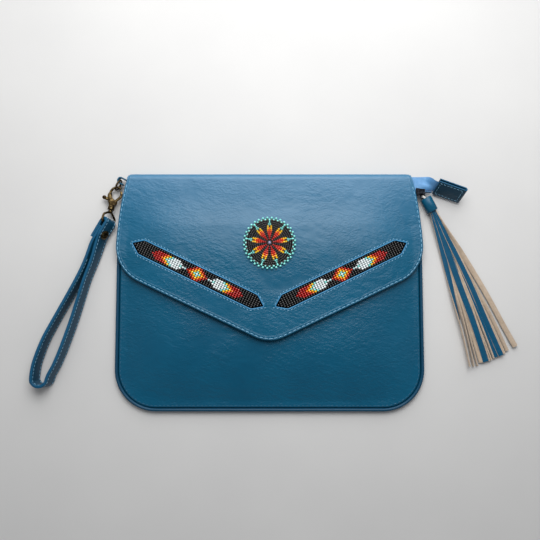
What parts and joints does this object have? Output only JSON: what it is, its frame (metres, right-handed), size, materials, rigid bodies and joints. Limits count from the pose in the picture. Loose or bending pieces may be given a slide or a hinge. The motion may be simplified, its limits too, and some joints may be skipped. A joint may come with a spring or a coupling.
{
  "type": "beaded leather envelope clutch with wrist strap",
  "caption": "Blue leather envelope clutch with beaded strips and a beaded rosette on its pointed flap, a zip top with a fringed pull, and a clip-on wrist strap.",
  "frame": {"origin": "middle of the flat rest face of the back panel", "axes": "+X along the top fold, +Y from the bottom seam to the top fold, +Z out of the flap"},
  "size_m": [0.4174, 0.2056, 0.0185],
  "materials": {
    "blue_leather": "satin",
    "lining_cloth": "matte",
    "zip_tape": "satin",
    "zip_teeth": "satin",
    "dark_leather": "satin",
    "dark_metal": "satin",
    "steel": "satin",
    "black_bead": "gloss",
    "red_bead": "gloss",
    "yellow_bead": "gloss",
    "white_bead": "gloss",
    "turquoise_bead": "gloss",
    "lilac_bead": "gloss",
    "antique_brass": "satin",
    "thong_leather": "matte"
  },
  "bodies": {
    "bag": {"back_panel": "blue_leather", "front_panel": "blue_leather", "edge_binding": "blue_leather", "flap_fold": "blue_leather", "lining_back": "lining_cloth", "lining_front": "lining_cloth", "zip_tape_front": "zip_tape", "zip_tape_back": "zip_tape", "zip_chain_front": "zip_teeth", "zip_chain_back": "zip_teeth", "zip_chain_tail": "zip_teeth", "zip_tail_tape": "zip_tape", "zip_end_tab": "dark_leather", "zip_slider": "dark_metal", "snap_socket": "steel", "side_loop": "blue_leather"},
    "flap": {"flap_shell": "blue_leather", "flap_lining": "lining_cloth", "snap_stud": "steel", "beads_left_ground": "black_bead", "beads_left_outer_tip": "red_bead", "beads_left_inner_tip": "red_bead", "beads_left_outer_band": "yellow_bead", "beads_left_inner_band": "yellow_bead", "beads_left_outer_vane": "white_bead", "beads_left_inner_vane": "white_bead", "beads_left_diamond_core": "yellow_bead", "beads_left_diamond_rim": "red_bead", "beads_right_ground": "black_bead", "beads_right_outer_tip": "red_bead", "beads_right_inner_tip": "red_bead", "beads_right_outer_band": "yellow_bead", "beads_right_inner_band": "yellow_bead", "beads_right_outer_vane": "white_bead", "beads_right_inner_vane": "white_bead", "beads_right_diamond_core": "yellow_bead", "beads_right_diamond_rim": "red_bead", "rosette_ground": "black_bead", "rosette_feathers": "red_bead", "rosette_edging": "turquoise_bead", "rosette_centre_bead": "lilac_bead"},
    "ring": {"jump_ring": "antique_brass"},
    "clasp": {"clasp_body": "antique_brass", "trigger_pin": "antique_brass"},
    "lever": {"clasp_trigger": "antique_brass"},
    "swivel": {"swivel_bail": "antique_brass"},
    "strap": {"wrist_strap": "blue_leather", "strap_rivet": "antique_brass"},
    "tassel": {"pull_thong": "thong_leather", "tassel_cuff": "dark_leather", "tassel_fringe": "blue_leather"}
  },
  "joints": [
    {"name": "flap_hinge", "type": "hinge", "parent": "bag", "child": "flap", "pos_m": [0, 0.09765, 0.00515], "axis": [-1, 0, 0], "range_deg": [0, 170], "deforming": ["flap_fold"]},
    {"name": "ring_swing", "type": "hinge", "parent": "bag", "child": "ring", "pos_m": [-0.1304, 0.0972, 0.00555], "axis": [0, 0, -1], "range_deg": [0, 45]},
    {"name": "clasp_lift", "type": "hinge", "parent": "ring", "child": "clasp", "pos_m": [-0.13249, 0.0931, 0.00555], "axis": [-0.891, 0.454, 0], "range_deg": [0, 80]},
    {"name": "clasp_gate", "type": "hinge", "parent": "clasp", "child": "lever", "pos_m": [-0.13603, 0.07816, 0.00526], "axis": [0.0193, 0.1032, 0.9945], "range_deg": [0, 11], "stiffness_Nm_per_rad": 0.01},
    {"name": "clasp_swivel", "type": "hinge", "parent": "clasp", "child": "swivel", "pos_m": [-0.1388, 0.07098, 0.00606], "axis": [-0.1827, -0.9775, 0.105], "range_deg": [-150, 75]},
    {"name": "strap_swing", "type": "hinge", "parent": "swivel", "child": "strap", "pos_m": [-0.141, 0.0592, 0.00733], "axis": [-0.4122, 0.238, 0.8795], "range_deg": [-40, 8]},
    {"name": "tassel_swing", "type": "hinge", "parent": "bag", "child": "tassel", "pos_m": [0.13397, 0.08282, 0.0059], "axis": [0, 0, 1], "range_deg": [-4, 20]}
  ]
}
